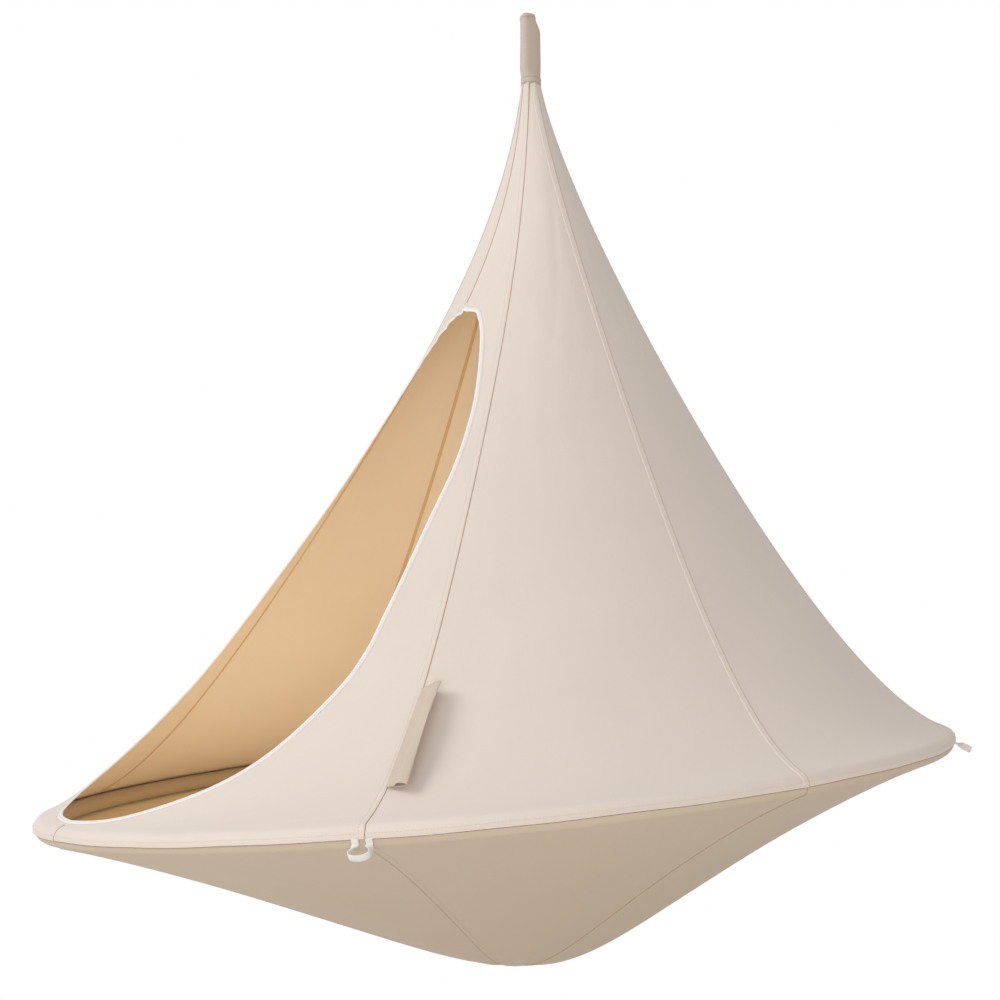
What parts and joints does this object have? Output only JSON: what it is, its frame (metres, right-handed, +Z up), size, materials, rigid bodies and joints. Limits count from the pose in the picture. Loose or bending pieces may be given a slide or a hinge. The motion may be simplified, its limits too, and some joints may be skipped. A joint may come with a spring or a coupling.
{
  "type": "hanging tent",
  "caption": "Hanging cocoon tent: a canvas cone over a tube ring with a bowl floor, a teardrop door and a webbing hang eye in a cloth sock.",
  "frame": {"origin": "bearing point of the hang strap's eye at the peak, where the carabiner carries the tent", "axes": "+Z up along the hang line, -Y towards the door"},
  "size_m": [1.5042, 1.4952, 1.6912],
  "materials": {
    "canvas": "matte proofed cotton canvas, natural",
    "floor_cloth": "matte proofed canvas, natural, seen in shade",
    "seam_tape": "matte woven tape on the inside of the seams",
    "binding": "white woven edge binding",
    "webbing": "ribbed white webbing",
    "aluminium": "drawn tube, mill finish"
  },
  "bodies": {
    "tent": {"canopy_gore_1": "canvas", "floor_gore_1": "floor_cloth", "rim_sleeve_1": "floor_cloth", "canopy_seam_tape_1": "seam_tape", "floor_seam_tape_1": "seam_tape", "canopy_gore_2": "canvas", "floor_gore_2": "floor_cloth", "rim_sleeve_2": "floor_cloth", "canopy_seam_tape_2": "seam_tape", "floor_seam_tape_2": "seam_tape", "canopy_gore_3": "canvas", "floor_gore_3": "floor_cloth", "rim_sleeve_3": "floor_cloth", "canopy_seam_tape_3": "seam_tape", "floor_seam_tape_3": "seam_tape", "canopy_gore_4": "canvas", "floor_gore_4": "floor_cloth", "rim_sleeve_4": "floor_cloth", "canopy_seam_tape_4": "seam_tape", "floor_seam_tape_4": "seam_tape", "canopy_gore_5": "canvas", "floor_gore_5": "floor_cloth", "rim_sleeve_5": "floor_cloth", "canopy_seam_tape_5": "seam_tape", "floor_seam_tape_5": "seam_tape", "canopy_gore_6": "canvas", "floor_gore_6": "floor_cloth", "rim_sleeve_6": "floor_cloth", "canopy_seam_tape_6": "seam_tape", "floor_seam_tape_6": "seam_tape", "canopy_gore_7": "canvas", "floor_gore_7": "floor_cloth", "rim_sleeve_7": "floor_cloth", "canopy_seam_tape_7": "seam_tape", "floor_seam_tape_7": "seam_tape", "canopy_gore_8": "canvas", "floor_gore_8": "floor_cloth", "rim_sleeve_8": "floor_cloth", "canopy_seam_tape_8": "seam_tape", "floor_seam_tape_8": "seam_tape", "ring_tube_1": "aluminium", "ring_joiner_1": "aluminium", "ring_tube_2": "aluminium", "ring_joiner_2": "aluminium", "ring_tube_3": "aluminium", "ring_joiner_3": "aluminium", "ring_tube_4": "aluminium", "ring_joiner_4": "aluminium", "door_binding": "binding", "neck_band": "canvas", "hanging_sock": "canvas", "hang_strap": "webbing"},
    "sock_rim": {"sock_hem": "canvas"},
    "seam_tag": {"seam_tag": "canvas"},
    "rim_loop_front_left": {"rim_loop_front_left": "webbing"},
    "rim_loop_back_left": {"rim_loop_back_left": "webbing"},
    "rim_loop_back_right": {"rim_loop_back_right": "webbing"},
    "rim_loop_front_right": {"rim_loop_front_right": "webbing"}
  },
  "joints": [
    {"name": "sock_pull_down", "type": "slide", "parent": "tent", "child": "sock_rim", "axis": [0, 0, -1], "range_m": [0, 0.08], "deforming": ["hanging_sock"]},
    {"name": "rim_loop_swing_front_left", "type": "hinge", "parent": "tent", "child": "rim_loop_front_left", "pos_m": [0.52974, -0.59216, -1.38138], "axis": [0.7071, 0.7027, 0.0792], "range_deg": [-50, 40], "stiffness_Nm_per_rad": 0.005},
    {"name": "rim_loop_swing_back_left", "type": "hinge", "parent": "tent", "child": "rim_loop_back_left", "pos_m": [0.52974, 0.46066, -1.26273], "axis": [-0.7071, 0.7027, 0.0792], "range_deg": [-50, 40], "stiffness_Nm_per_rad": 0.005},
    {"name": "rim_loop_swing_back_right", "type": "hinge", "parent": "tent", "child": "rim_loop_back_right", "pos_m": [-0.52974, 0.46066, -1.26273], "axis": [-0.7071, -0.7027, -0.0792], "range_deg": [-50, 40], "stiffness_Nm_per_rad": 0.005},
    {"name": "rim_loop_swing_front_right", "type": "hinge", "parent": "tent", "child": "rim_loop_front_right", "pos_m": [-0.52974, -0.59216, -1.38138], "axis": [0.7071, -0.7027, -0.0792], "range_deg": [-50, 40], "stiffness_Nm_per_rad": 0.005},
    {"name": "seam_tag_flap", "type": "hinge", "parent": "tent", "child": "seam_tag", "pos_m": [0.40733, -0.44634, -1.18918], "axis": [0.4435, -0.5363, -0.7181], "range_deg": [-20, 95], "stiffness_Nm_per_rad": 0.02}
  ]
}
